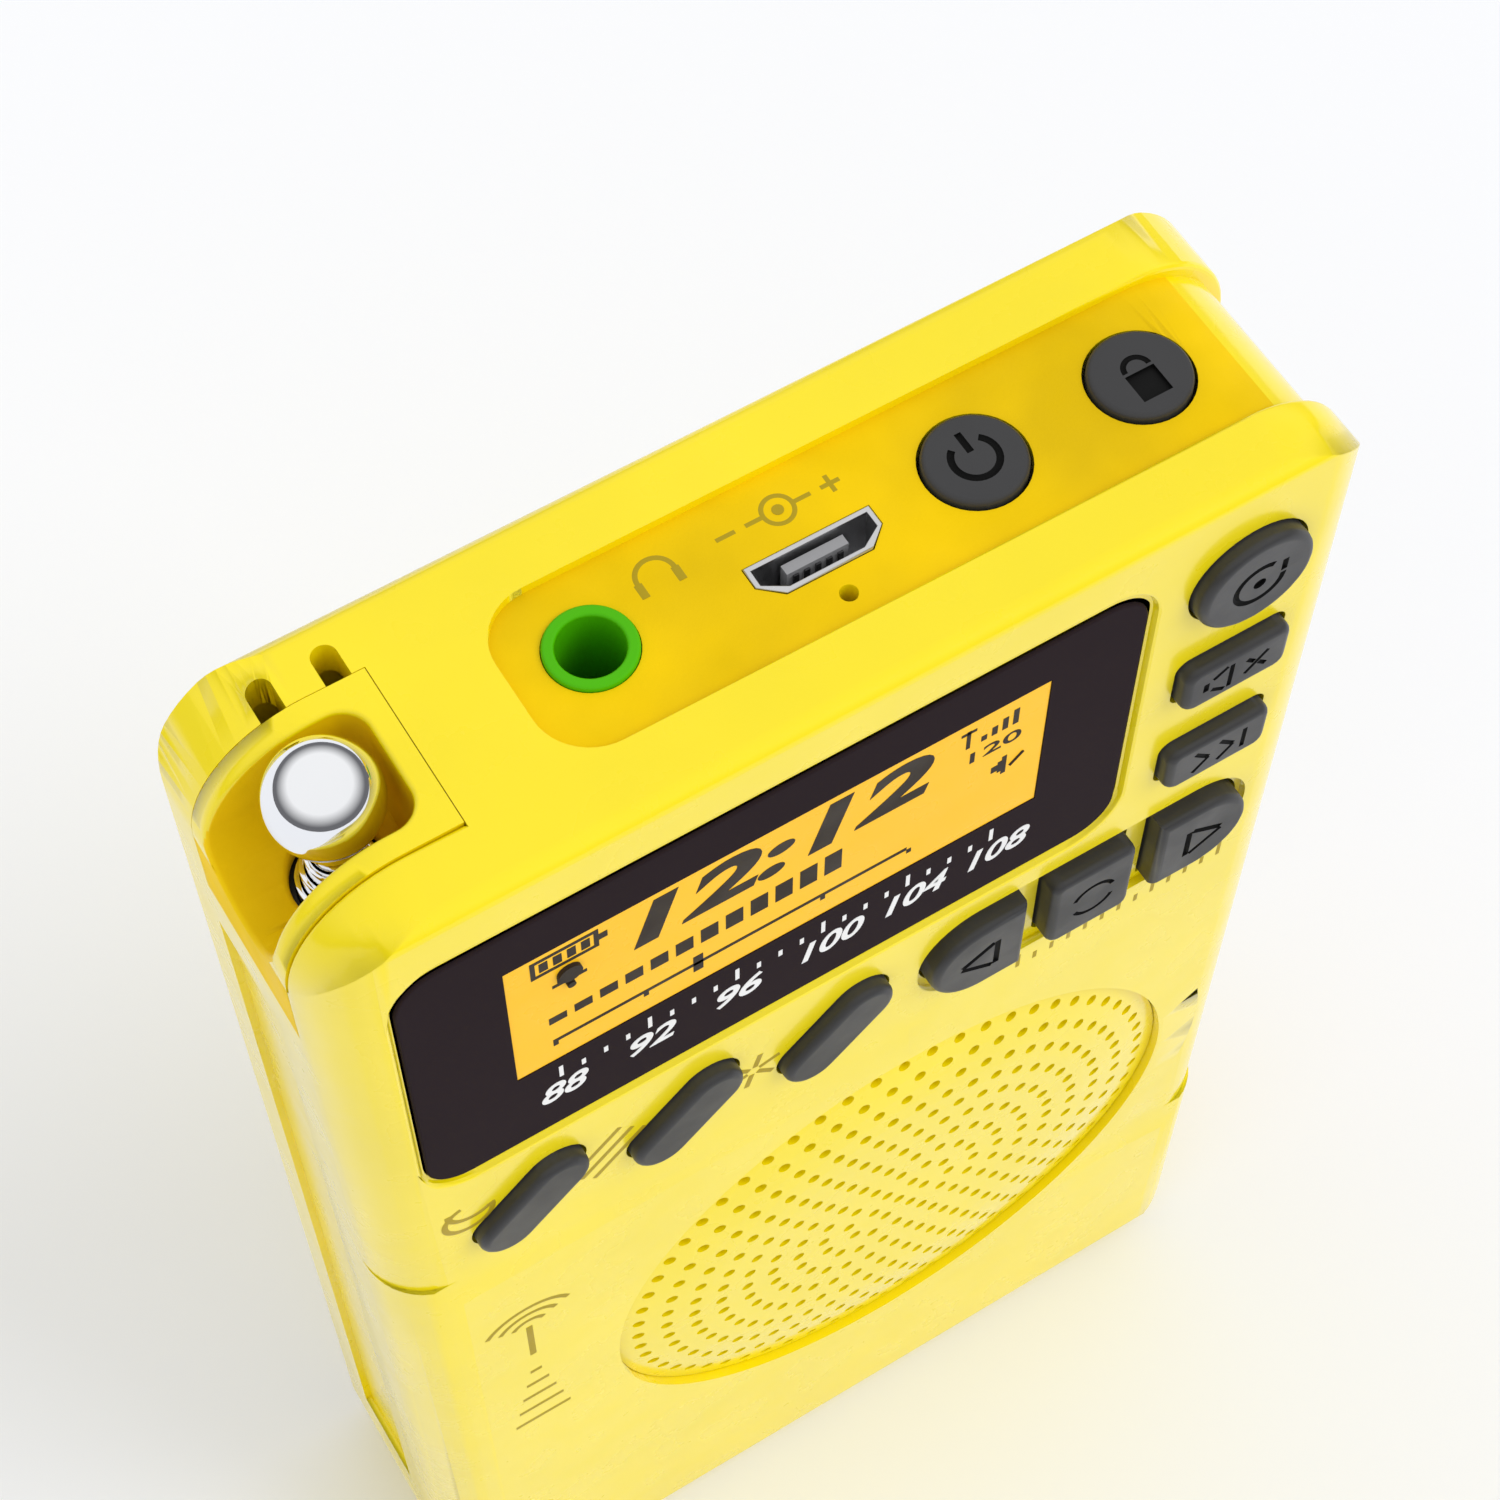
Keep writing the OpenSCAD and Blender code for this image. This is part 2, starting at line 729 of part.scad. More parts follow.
module sleep_button() front_key(pill_x, pill_z) {
    at_pill(0) pill_key(0);
    at_pill(0) pill_key(flange_w);
}

module menu_button() front_key(pill_x + pill_pitch, pill_z) {
    at_pill(1) pill_key(0);
    at_pill(1) pill_key(flange_w);
}

module preset_button() front_key(pill_x + 2 * pill_pitch, pill_z) {
    at_pill(2) pill_key(0);
    at_pill(2) pill_key(flange_w);
}

// A round key on top: cap, flange under the wall and stem
top_key_proud = 0.4;
module top_key(x) color(key_grey) {
    flange_z = band_floor_z - top_wall - part_gap - flange_t;
    translate([x, 0, flange_z]) {
        cylinder(d = top_key_d, h = band_floor_z + top_key_proud - flange_z);
        cylinder(d = top_key_d + 2 * flange_w, h = flange_t);
    }
    translate([x, board_y + board_t + 1.7, top_switch_z + key_travel + part_gap])
        cylinder(r = 1, h = flange_z - top_switch_z - key_travel);
}

module power_button() top_key(power_x);

module lock_button() top_key(lock_x);

// Headphone jack: a collar in the top wall over a moulded body
module headphone_jack() color([0.2, 0.62, 0.1])
    translate([jack_x, jack_y, band_floor_z])
        difference() {
            union() {
                translate([0, 0, -top_wall - 0.3]) cylinder(r = jack_r, h = top_wall + 0.6);
                translate([-3.2, -jack_y + board_y + board_t, -jack_l - 1.5])
                    cube([6.4, jack_y - board_y - board_t + 2.6, jack_l + 1.4 - top_wall]);
            }
            translate([0, 0, -jack_l]) cylinder(r = jack_bore_r, h = jack_l + over);
        }

// Outline of the charging socket: wide at the back, narrower towards the front
module usb_outline(g)
    polygon([[-usb_w / 2 - g, usb_d / 2 + g], [-usb_w / 2 - g, -0.05 * usb_d],
        [-usb_w / 2 + 1.2 - g, -usb_d / 2 - g], [usb_w / 2 - 1.2 + g, -usb_d / 2 - g],
        [usb_w / 2 + g, -0.05 * usb_d], [usb_w / 2 + g, usb_d / 2 + g]]);

usb_skin = 0.3;
module usb_shell() color([0.72, 0.72, 0.74])
    translate([usb_x, usb_y, band_floor_z + 0.1 - usb_l])
        difference() {
            linear_extrude(usb_l) usb_outline(0);
            translate([0, 0, 0.5]) linear_extrude(usb_l) usb_outline(-usb_skin);
        }

tongue_w = 3.6;
module usb_tongue() color(steel_grey)
    translate([usb_x - tongue_w / 2, usb_y, band_floor_z + 0.1 - usb_l + 0.5])
        cube([tongue_w, 0.6, usb_l - 1]);

module usb_contacts() color([0.85, 0.7, 0.3])
    for (i = [-2 : 2])
        translate([usb_x + i * 0.65 - 0.15, usb_y - 0.12, band_floor_z + 0.6 - usb_l])
            cube([0.3, 0.12, usb_l - 1.3]);

// Small lamp under the pinhole
module charge_led() color([0.9, 0.9, 0.85])
    translate([led_x() - 0.6, board_y - 1.2, board_z1 - 1.4]) cube([1.2, 1.2, 1.2]);

// Tin box over the receiver
module rf_shield() color(steel_grey)
    translate([-17, board_y + board_t, 66]) cube([16, 2.2, 14]);

module processor_chip() color(black)
    translate([6, board_y + board_t, 68]) cube([9, 1, 9]);

// Sleeve that guides the mast
module antenna_guide() color(black)
    translate([mast_x, 0, guide_z]) {
        ring(guide_r + guide_wall, guide_r, guide_l);
        translate([0, 0, -0.8]) cylinder(r = guide_r + guide_wall, h = 0.8);
    }

// Foot of the mast, with the tongue of its folding joint
tongue_t = 1.2;
module antenna_foot() color([0.75, 0.6, 0.25])
    translate([mast_x, 0, guide_z + part_gap]) {
        cylinder(r = tube_r, h = 2.6);
        difference() {
            intersection() {
                cylinder(r = tube_r, h = 6.2);
                translate([-tube_r, -tongue_t / 2, 0]) cube([2 * tube_r, tongue_t, 6.2]);
            }
            translate([0, tube_r, 4.6]) rotate([90, 0, 0]) cylinder(r = pin_r, h = 2 * tube_r);
        }
    }

pivot_z = guide_z + part_gap + 4.6;
module antenna_pivot() color(steel_grey)
    translate([mast_x, tube_r - 0.35, pivot_z]) rotate([90, 0, 0]) cylinder(r = pin_r, h = 2 * tube_r - 0.7);

// Widest tube, with the fork of the folding joint at its lower end
module antenna_tube_1() color(chrome_grey)
    translate([mast_x, 0, guide_z + part_gap + 2.7]) {
        difference() {
            cylinder(r = tube_r, h = 6);
            translate([-tube_r - over, -tongue_t / 2 - part_gap, -over])
                cube([2 * tube_r + 2 * over, tongue_t + 2 * part_gap, 4.7]);
            translate([0, tube_r + over, 1.9])
                rotate([90, 0, 0]) cylinder(r = pin_r, h = 2 * tube_r + 2 * over);
        }
        translate([0, 0, 6]) ring(tube_r, bore_1, neck_z - 4 * step - guide_z - 8.8);
    }

// The narrower tubes each stand on the closed end of the one around them
floor_1 = guide_z + 8.9;
module inner_tube(r_out, r_in, z0, z1)
    color(chrome_grey)
        translate([mast_x, 0, z0]) {
            cylinder(r = r_out, h = 1);
            translate([0, 0, 1]) ring(r_out, r_in, z1 - z0 - 1);
        }

module antenna_tube_2() inner_tube(tube_2_r, bore_2, floor_1, neck_z - 3 * step);

module antenna_tube_3() inner_tube(tube_3_r, bore_3, floor_1 + 1.1, neck_z - 2 * step);

module antenna_rod() color(chrome_grey)
    translate([mast_x, 0, floor_1 + 2.2]) cylinder(r = rod_r, h = neck_z - floor_1 - 2.2 + 0.5);

// Ball tip pressed on the rod
module antenna_tip() color(chrome_grey)
    translate([mast_x, 0, tip_z])
        difference() {
            union() {
                sphere(tip_r);
                translate([0, 0, -tip_r - 0.6]) cylinder(r = rod_r + 0.6, h = 1.6);
            }
            translate([0, 0, -tip_r - over]) cylinder(r = rod_r, h = over + 0.5);
        }

module battery() color([0.25, 0.45, 0.75])
    translate([bay_x - cell_w / 2, cell_y, cell_z]) cube([cell_w, cell_t, cell_h]);

// Three blades above the battery
module battery_contacts() color([0.85, 0.7, 0.3])
    for (i = [-1 : 1])
        translate([bay_x + i * 6 - 1, cell_y + 1, cell_z + cell_h]) cube([2, 2.5, bay_gap]);

// Sliding cover of the battery bay
module battery_door() color(plastic_yellow)
    difference() {
        intersection() {
            translate([bay_x - door_w / 2, back_y - door_t, 0]) cube([door_w, door_t, door_top]);
            body_form(split_y, back_y, 0, chin_r);
        }
        for (i = [0 : 4])
            translate([bay_x - 6, back_y - 0.4, cell_z + cell_h - 4 - 1.6 * i]) cube([12, over, 0.8]);
    }

// Screws driven from the back into the front posts
module shell_screws() color(steel_grey)
    at_posts() {
        translate([0, 0, back_y - 2]) cylinder(r = 1.35, h = 1);
        translate([0, 0, split_y - 6]) cylinder(r = screw_r, h = back_y - 2 - split_y + 6);
    }

front_shell();
rear_shell();
antenna_surround();
display_lens();
lcd_module();
lcd_holder();
speaker_grille();
dust_cloth();
speaker_frame();
speaker_cone();
speaker_magnet();
main_board();
front_key_switches();
top_key_switches();
mode_button();
mute_button();
scan_button();
tune_down_button();
select_button();
tune_up_button();
sleep_button();
menu_button();
preset_button();
power_button();
lock_button();
headphone_jack();
usb_shell();
usb_tongue();
usb_contacts();
charge_led();
rf_shield();
processor_chip();
antenna_guide();
antenna_foot();
antenna_pivot();
antenna_tube_1();
antenna_tube_2();
antenna_tube_3();
antenna_rod();
antenna_tip();
battery();
battery_contacts();
battery_door();
shell_screws();
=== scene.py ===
import math

import bpy
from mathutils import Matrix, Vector


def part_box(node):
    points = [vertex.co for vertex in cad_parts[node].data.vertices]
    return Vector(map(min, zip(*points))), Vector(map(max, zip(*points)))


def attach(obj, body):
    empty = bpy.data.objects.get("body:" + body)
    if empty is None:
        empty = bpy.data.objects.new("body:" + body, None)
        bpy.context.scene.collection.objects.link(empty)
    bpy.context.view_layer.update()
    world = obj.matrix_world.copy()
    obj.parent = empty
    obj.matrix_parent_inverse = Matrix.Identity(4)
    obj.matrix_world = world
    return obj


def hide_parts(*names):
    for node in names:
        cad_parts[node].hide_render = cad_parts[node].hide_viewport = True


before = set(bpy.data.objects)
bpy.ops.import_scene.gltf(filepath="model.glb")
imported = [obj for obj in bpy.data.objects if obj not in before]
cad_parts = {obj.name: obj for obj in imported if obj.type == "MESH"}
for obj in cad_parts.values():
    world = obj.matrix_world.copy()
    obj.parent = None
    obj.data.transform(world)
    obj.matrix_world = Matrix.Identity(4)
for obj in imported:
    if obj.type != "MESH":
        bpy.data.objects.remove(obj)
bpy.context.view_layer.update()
mm = 0.001

# Camera: a long lens close above the top left corner, looking down on the top and the front
# of the radio. Its place is in millimetres in the radio's own frame.
camera_data = bpy.data.cameras.new("camera")
camera_data.sensor_width = 36
camera_data.lens = 79.01
camera_data.clip_start = 0.01
camera_data.clip_end = 20
camera = bpy.data.objects.new("camera", camera_data)
camera.location = Vector((-47.89, -75.12, 238.52)) * mm
camera.rotation_mode = "QUATERNION"
camera.rotation_quaternion = Vector((0.26048, 0.42609, -0.86637)).to_track_quat("-Z", "Y")
bpy.context.collection.objects.link(camera)
bpy.context.scene.camera = camera
bpy.context.scene.view_settings.view_transform = "Standard"

# Floor: a plain matt white sheet under the radio, wide enough to fill every view. It is a
# little cool, which balances the yellow that the radio throws on it.
bpy.ops.object.select_all(action="DESELECT")
bpy.ops.mesh.primitive_plane_add(size=6, location=(0, 0, 0))
floor = bpy.context.object
floor.name = "floor"
floor_paint = bpy.data.materials.new("floor_white")
floor_paint.use_nodes = True
floor_shader = floor_paint.node_tree.nodes["Principled BSDF"]
floor_shader.inputs["Base Color"].default_value = (0.905, 0.915, 0.945, 1)
floor_shader.inputs["Roughness"].default_value = 0.9
floor_shader.inputs["Specular IOR Level"].default_value = 0.0
floor.data.materials.append(floor_paint)

# Light: a white studio dome, with a darker band low down that only shiny surfaces mirror, and
# one soft lamp from the right that gives the radio its faint shadow.
world = bpy.data.worlds.new("studio")
bpy.context.scene.world = world
world.use_nodes = True
sky = world.node_tree
sky.nodes.clear()
sky_out = sky.nodes.new("ShaderNodeOutputWorld")
sky_mix = sky.nodes.new("ShaderNodeMixShader")
sky_path = sky.nodes.new("ShaderNodeLightPath")
sky_plain = sky.nodes.new("ShaderNodeBackground")
sky_plain.inputs["Color"].default_value = (1, 1, 1, 1)
sky_plain.inputs["Strength"].default_value = 0.86
sky_mirror = sky.nodes.new("ShaderNodeBackground")
sky_mirror.inputs["Strength"].default_value = 1.0
sky_place = sky.nodes.new("ShaderNodeTexCoord")
sky_split = sky.nodes.new("ShaderNodeSeparateXYZ")
sky_ramp = sky.nodes.new("ShaderNodeValToRGB")
sky_ramp.color_ramp.elements[0].position = 0.12
sky_ramp.color_ramp.elements[0].color = (0.16, 0.16, 0.17, 1)
sky_ramp.color_ramp.elements[1].position = 0.52
sky_ramp.color_ramp.elements[1].color = (1, 1, 1, 1)
sky.links.new(sky_place.outputs["Generated"], sky_split.inputs["Vector"])
sky.links.new(sky_split.outputs["Z"], sky_ramp.inputs["Fac"])
sky.links.new(sky_ramp.outputs["Color"], sky_mirror.inputs["Color"])
sky.links.new(sky_path.outputs["Is Glossy Ray"], sky_mix.inputs["Fac"])
sky.links.new(sky_plain.outputs["Background"], sky_mix.inputs[1])
sky.links.new(sky_mirror.outputs["Background"], sky_mix.inputs[2])
sky.links.new(sky_mix.outputs["Shader"], sky_out.inputs["Surface"])
lamp_data = bpy.data.lights.new("soft_lamp", "SUN")
lamp_data.energy = 0.95
lamp_data.angle = math.radians(35)
lamp = bpy.data.objects.new("soft_lamp", lamp_data)
lamp.rotation_euler = (math.radians(28), math.radians(38), 0)
lamp.visible_glossy = False
bpy.context.collection.objects.link(lamp)


# Moulded plastic: an even colour with a slight cloudiness, a fine spark-eroded grain and
# patches that handling has polished.
def plastic(name, colour, roughness, coat=0.0, grain=0.00001, specular=0.5, cloud=0.06, wear=0.5):
    material = bpy.data.materials.new(name)
    material.use_nodes = True
    tree = material.node_tree
    shader = tree.nodes["Principled BSDF"]
    place = tree.nodes.new("ShaderNodeTexCoord")
    clouds = tree.nodes.new("ShaderNodeTexNoise")
    clouds.inputs["Scale"].default_value = 90
    clouds.inputs["Detail"].default_value = 3
    tint = tree.nodes.new("ShaderNodeValToRGB")
    tint.color_ramp.elements[0].position = 0.3
    tint.color_ramp.elements[1].position = 0.7
    tint.color_ramp.elements[0].color = tuple(c * (1 - cloud) for c in colour) + (1,)
    tint.color_ramp.elements[1].color = tuple(min(c * (1 + cloud * 0.4), 1) for c in colour) + (1,)
    polish = tree.nodes.new("ShaderNodeTexNoise")
    polish.inputs["Scale"].default_value = 240
    polish.inputs["Detail"].default_value = 5
    spread = tree.nodes.new("ShaderNodeMapRange")
    spread.inputs["From Min"].default_value = 0.35
    spread.inputs["From Max"].default_value = 0.65
    spread.inputs["To Min"].default_value = roughness * (1 - wear * 0.4)
    spread.inputs["To Max"].default_value = min(roughness * (1 + wear * 0.4), 1)
    skin = tree.nodes.new("ShaderNodeTexNoise")
    skin.inputs["Scale"].default_value = 4200
    skin.inputs["Detail"].default_value = 2
    bump = tree.nodes.new("ShaderNodeBump")
    bump.inputs["Strength"].default_value = 0.35
    bump.inputs["Distance"].default_value = grain
    shader.inputs["Coat Weight"].default_value = coat
    shader.inputs["Coat Roughness"].default_value = 0.12
    shader.inputs["Specular IOR Level"].default_value = specular
    for texture in (clouds, polish, skin):
        tree.links.new(place.outputs["Object"], texture.inputs["Vector"])
    tree.links.new(clouds.outputs["Fac"], tint.inputs["Fac"])
    tree.links.new(tint.outputs["Color"], shader.inputs["Base Color"])
    tree.links.new(polish.outputs["Fac"], spread.inputs["Value"])
    tree.links.new(spread.outputs["Result"], shader.inputs["Roughness"])
    tree.links.new(skin.outputs["Fac"], bump.inputs["Height"])
    tree.links.new(bump.outputs["Normal"], shader.inputs["Normal"])
    return material


# The case is one bright yellow with a clear gloss. In the band across the top and in the trough of
# the mast the plastic has a coarse grain, and there its colour is painted a deeper yellow as painted
# shade of these recesses.
yellow = plastic("yellow_plastic", (0.95, 0.765, 0.001), 0.3, coat=0.7, specular=0.2, cloud=0.04)
yellow_grain_and_shade = plastic("yellow_grain_and_shade", (0.9, 0.6, 0.001), 0.6, specular=0.1,
                         grain=0.00004, cloud=0.2)
# Painted shade: the signs' darker yellow stands for the shade inside engraved grooves.
sign_painted_shade = plastic("yellow_engraving_shade", (0.42, 0.30, 0.002), 0.5, specular=0.3)


# Front shell: a deep tub injection-moulded in yellow plastic. The rims of its top band and of
# the display's pocket are rounded where the tool was polished. Four screws hold the rear shell.
def activate(piece):
    bpy.ops.object.select_all(action="DESELECT")
    piece.select_set(True)
    bpy.context.view_layer.objects.active = piece


def copy_of(node, name, flatten=0.05):
    piece = bpy.data.objects.new(name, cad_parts[node].data.copy())
    bpy.context.collection.objects.link(piece)
    piece.data.materials.clear()
    activate(piece)
    bpy.ops.object.mode_set(mode="EDIT")
    bpy.ops.mesh.select_all(action="SELECT")
    bpy.ops.mesh.remove_doubles(threshold=0.000002)
    bpy.ops.mesh.dissolve_degenerate(threshold=0.00002)
    bpy.ops.mesh.dissolve_limited(angle_limit=math.radians(flatten))
    bpy.ops.object.mode_set(mode="OBJECT")
    return piece


def round_edges(piece, width, keep, segments=3, sharpness=28):
    activate(piece)
    bpy.ops.object.mode_set(mode="EDIT")
    bpy.ops.mesh.select_mode(type="EDGE")
    bpy.ops.mesh.select_all(action="DESELECT")
    bpy.ops.mesh.edges_select_sharp(sharpness=math.radians(sharpness))
    bpy.ops.object.mode_set(mode="OBJECT")
    corners = piece.data.vertices
    sharp = [edge for edge in piece.data.edges if edge.select]
    chosen = [edge for edge in sharp if all(keep(corners[v].co / mm) for v in edge.vertices)]
    for edge in sharp:
        edge.select = False
    for face in piece.data.polygons:
        face.select = False
    for corner in corners:
        corner.select = False
    for edge in chosen:
        edge.select = True
        for v in edge.vertices:
            corners[v].select = True
    bpy.ops.object.mode_set(mode="EDIT")
    bpy.ops.mesh.bevel(offset=width * mm, segments=segments, affect="EDGES", clamp_overlap=False)
    bpy.ops.object.mode_set(mode="OBJECT")


def finish_piece(piece, material, body, node, angle=32, weighted=True):
    if not piece.data.materials:
        piece.data.materials.append(material)
    activate(piece)
    bpy.ops.object.shade_smooth_by_angle(angle=math.radians(angle))
    if weighted:
        even = piece.modifiers.new("even_shading", "WEIGHTED_NORMAL")
        even.keep_sharp = True
        bpy.ops.object.modifier_apply(modifier=even.name)
    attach(piece, body)
    if node:
        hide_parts(node)


def stroke(u0, v0, u1, v1, width):
    length = math.hypot(u1 - u0, v1 - v0)
    lean = math.atan2(v1 - v0, u1 - u0) - math.pi / 2
    bpy.ops.mesh.primitive_cylinder_add(vertices=8, radius=width / 2 * mm, depth=length * mm,
                                        location=((u0 + u1) / 2 * mm, (v0 + v1) / 2 * mm, 0),
                                        rotation=(math.pi / 2, 0, lean))
    return bpy.context.object


def arc(u, v, radius, width, start=0, end=360):
    bpy.ops.mesh.primitive_torus_add(major_radius=radius * mm, minor_radius=width / 2 * mm,
                                     major_segments=36, minor_segments=8, location=(u * mm, v * mm, 0))
    ring = bpy.context.object
    if end - start < 360:
        bpy.ops.object.mode_set(mode="EDIT")
        bpy.ops.mesh.select_mode(type="FACE")
        bpy.ops.mesh.select_all(action="DESELECT")
        bpy.ops.object.mode_set(mode="OBJECT")
        for face in ring.data.polygons:
            turn = math.degrees(math.atan2(face.center.y, face.center.x)) % 360
            face.select = (turn - start) % 360 > end - start
        bpy.ops.object.mode_set(mode="EDIT")
        bpy.ops.mesh.delete(type="FACE")
        bpy.ops.mesh.select_all(action="SELECT")
        bpy.ops.mesh.region_to_loop()
        bpy.ops.mesh.fill_holes(sides=0)
        bpy.ops.object.mode_set(mode="OBJECT")
    return ring


def dot(u, v, radius, vertices=16):
    bpy.ops.mesh.primitive_cylinder_add(vertices=vertices, radius=radius * mm, depth=0.5 * mm,
                                        location=(u * mm, v * mm, 0), rotation=(0, 0, math.pi / 4))
    return bpy.context.object


def placed(parts, place, front=True, turn=0):
    for part in parts:
        activate(part)
        bpy.ops.object.transform_apply(location=True, rotation=True, scale=True)
        part.rotation_euler = (math.pi / 2 if front else 0, math.radians(-turn) if front else 0, 0)
        part.location = Vector(place) * mm
        bpy.ops.object.transform_apply(location=True, rotation=True, scale=True)
    return parts


def joined(parts, name, place, front=True, turn=0):
    placed(parts, place, front, turn)
    for part in parts:
        part.select_set(True)
    bpy.ops.object.join()
    sign = bpy.context.object
    sign.name = name
    return sign


def engrave(piece, material, cut_material, cutters):
    piece.data.materials.clear()
    piece.data.materials.append(material)
    piece.data.materials.append(cut_material)
    activate(piece)
    for cutter in cutters:
        cutter.data.materials.clear()
        cutter.data.materials.append(cut_material)
        modifier = piece.modifiers.new("engraving", "BOOLEAN")
        modifier.operation = "DIFFERENCE"
        modifier.solver = "FAST"
        modifier.object = cutter
        bpy.ops.object.modifier_apply(modifier=modifier.name)
        bpy.data.objects.remove(cutter)


back_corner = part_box("rear_shell")[1] / mm
front = -back_corner.y
top = back_corner.z
side = back_corner.x
belly_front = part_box("front_shell")[0].y / mm
band_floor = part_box("usb_shell")[1].z / mm - 0.1
band_half = 5
corner_r = 7
foot_height = 3
lens_low, lens_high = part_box("display_lens")
pocket_low = lens_low / mm - Vector((0.6, 0, 0.5))
pocket_high = lens_high / mm + Vector((0.7, 0, 1.5))
shell = copy_of("front_shell", "front_shell_moulding", 0.4)


def on_band_rim(p):
    at_rim = abs(p.y + band_half) < 0.02 and p.z > foot_height
    return at_rim and (p.z > top - corner_r - 1 or p.x > side - 1)


def on_pocket_rim(p):
    in_width = pocket_low.x < p.x < pocket_high.x
    return p.y < front + 0.6 and in_width and pocket_low.z < p.z < pocket_high.z


round_edges(shell, 0.3, on_band_rim)
round_edges(shell, 0.22, on_pocket_rim, 2, 40)
finish_piece(shell, yellow, "case", "front_shell")


def in_band(face):
    spot = face.center / mm
    depth = min(top - spot.z, side - spot.x)
    if spot.x > side - corner_r and spot.z > top - corner_r:
        depth = corner_r - math.hypot(spot.x - side + corner_r, spot.z - top + corner_r)
    level = abs(spot.y) < band_half + 0.3 and abs(face.normal.y) < 0.3
    return level and 0.4 < depth < 0.75 and spot.x > -side / 2 - 0.5


def grain_and_shade(piece, chosen):
    piece.data.materials.append(yellow_grain_and_shade)
    for face in piece.data.polygons:
        if chosen(face):
            face.material_index = 1


# Painted shade: the floor of the top band gets the grained yellow, whose deeper colour is painted shade
# of the recess.
grain_and_shade(shell, in_band)



# Signs on the shells beside the keys and sockets: a moon, three lines and a star, a tuning
# scale, a mast with waves over a column of bars, headphones and the polarity of the charger.
# They are a hair thick and lie in the face of the moulding. Their darker yellow is painted
# shade, standing for the shade inside engraved grooves.
def shell_sign(parts, name, place, on_front=True, turn=0):
    thinness = 0.09
    sign = joined(parts, name, (0, 0, 0), on_front, turn)
    sign.scale = (1, thinness, 1) if on_front else (1, 1, thinness)
    sign.location = Vector(place) * mm
    bpy.ops.object.transform_apply(location=True, rotation=True, scale=True)
    finish_piece(sign, sign_painted_shade, "case", None)


def ray(degrees, reach0, reach1, width):
    across = math.cos(math.radians(degrees))
    up = math.sin(math.radians(degrees))
    return stroke(reach0 * across, reach0 * up, reach1 * across, reach1 * up, width)


line = 0.4
shell_sign([arc(0, 0, 1.5, line, 60, 330), arc(1.1, 0.7, 1.5, line, 125, 268)],
           "moon", (-25.6, front, 69.4), turn=45)
shell_sign([stroke(-2.4, v, 2.4, v, line) for v in (-1.1, 0, 1.1)],
           "lines", (-16.9, front, 67.6), turn=45)
shell_sign([ray(30 + 60 * i, 0.4, 1.8, line) for i in range(6)],
           "star", (-7.3, front, 67.6), turn=45)
shell_sign([stroke(1.22 * i, 0, 1.22 * i, 1.5 if i % 4 == 0 else 0.8, 0.3) for i in range(13)],
           "scale", (11.2, front, 61.4))
waves = [arc(0, 0, r, line, 35, 145) for r in (1.2, 2.2, 3.2)]
pole = [stroke(0, -4.6, 0, 0.2, 0.45)]
column = [stroke(-0.4 * n, -5.4 - 2.1 * n, 0.4 * n, -5.4 - 2.1 * n, 0.45) for n in range(1, 6)]
shell_sign(waves + pole + column, "waves", (-23.3, belly_front, 49.3))
cups = [stroke(u, 0, u, -0.9, 0.45) for u in (-1.05, 1.05)]
shell_sign([arc(0, 0, 1.05, 0.28, 0, 180)] + cups, "headset", (-5.85, 2.5, band_floor), False)
thin = 0.26
dashes = [stroke(u, 0, u + 1, 0, thin) for u in (-1.9, 0.9)]
poles = [stroke(u, 0, u + 1.1, 0, thin) for u in (-3.6, 2.5)]
plus = [stroke(3.05, -0.55, 3.05, 0.55, thin)]
shell_sign([arc(0, 0, 0.85, thin), dot(0, 0, 0.32)] + dashes + poles + plus,
           "polarity", (1.3, 2.7, band_floor), False)


# Rear shell: the shallow half, moulded in the same yellow plastic and screwed to the front one.
# Its lip along the top band is rounded.
def on_rear_rim(p):
    reach = math.hypot(max(p.x - side + corner_r, 0), max(p.z - top + corner_r, 0))
    at_lip = abs(p.y - band_half - 0.55) < 0.6 and p.x > -side / 2 + 0.5 and p.z > foot_height
    return at_lip and (p.z > top - 0.02 or reach > corner_r - 0.02)


rear = copy_of("rear_shell", "rear_shell_moulding")
round_edges(rear, 0.3, on_rear_rim)
finish_piece(rear, yellow, "case", "rear_shell", 20, False)
# Painted shade: the rear shell's part of the band floor gets the grained yellow, whose deeper colour is
# painted shade of the recess.
grain_and_shade(rear, in_band)

# Surround of the mast: a separate yellow block let into the top left corner between the two
# shells. Its rims are softly rounded, and its trough is grained coarse and painted a deeper yellow
# as painted shade of the trough.
trough_half = 3.65
surround = copy_of("antenna_surround", "antenna_surround_moulding")
round_edges(surround, 0.3, lambda p: p.z > top - 8.5 and abs(p.y) < band_half - 0.6, 4)
finish_piece(surround, yellow, "case", "antenna_surround")
# Painted shade: the trough gets the grained yellow, whose deeper colour is painted shade.
grain_and_shade(surround, lambda face: abs(face.center.y) < trough_half * mm and face.center.z < (top - 0.6) * mm)

# Speaker grille and battery door: yellow mouldings in the same plastic. The grille is pressed
# into the front from inside, and the door slides down in the back.
for node in ("speaker_grille", "battery_door"):
    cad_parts[node].data.materials.clear()
    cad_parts[node].data.materials.append(yellow)

